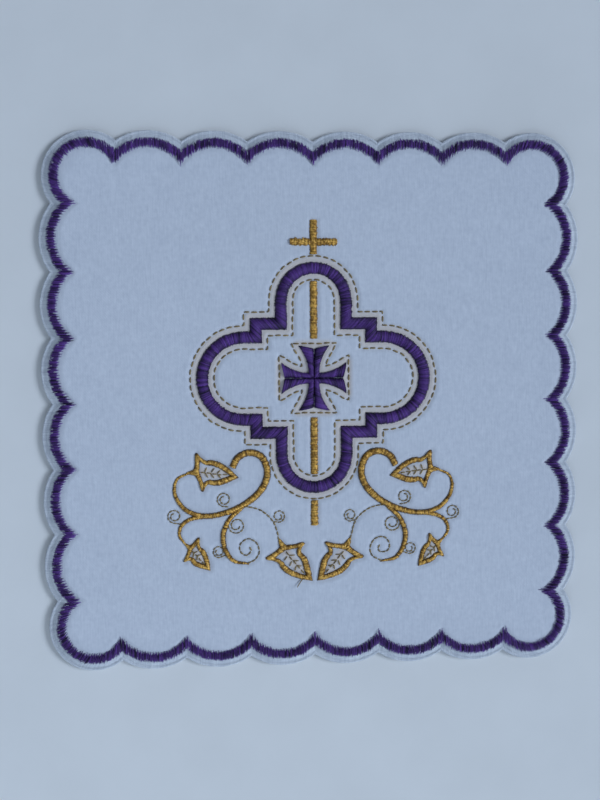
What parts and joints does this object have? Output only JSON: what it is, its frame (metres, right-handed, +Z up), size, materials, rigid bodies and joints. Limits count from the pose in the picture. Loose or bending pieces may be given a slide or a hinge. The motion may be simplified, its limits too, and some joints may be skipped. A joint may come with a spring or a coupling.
{
  "type": "chalice pall",
  "caption": "Flat stiffened square of white cloth with a scalloped satin-stitched edge and gold and purple embroidery, laid over a chalice to cover it.",
  "frame": {"origin": "middle of the flat underside", "axes": "+Z up out of the embroidered face, +Y towards the head of the cross, +X to the right of it"},
  "size_m": [0.1606, 0.1596, 0.0034],
  "materials": {
    "white_cloth": "matt plain weave",
    "purple_thread": "satin-stitched rayon thread",
    "gold_thread": "satin-stitched metallic thread"
  },
  "bodies": {
    "root": {"cloth_panel": "white_cloth", "scalloped_band": "purple_thread", "quatrefoil": "purple_thread", "flared_cross": "purple_thread", "gold_cross_head": "gold_thread", "gold_cross_upper_shaft": "gold_thread", "gold_cross_lower_shaft": "gold_thread", "gold_cross_foot": "gold_thread", "vine_spray_left": "gold_thread", "vine_spray_right": "gold_thread"}
  },
  "joints": []
}
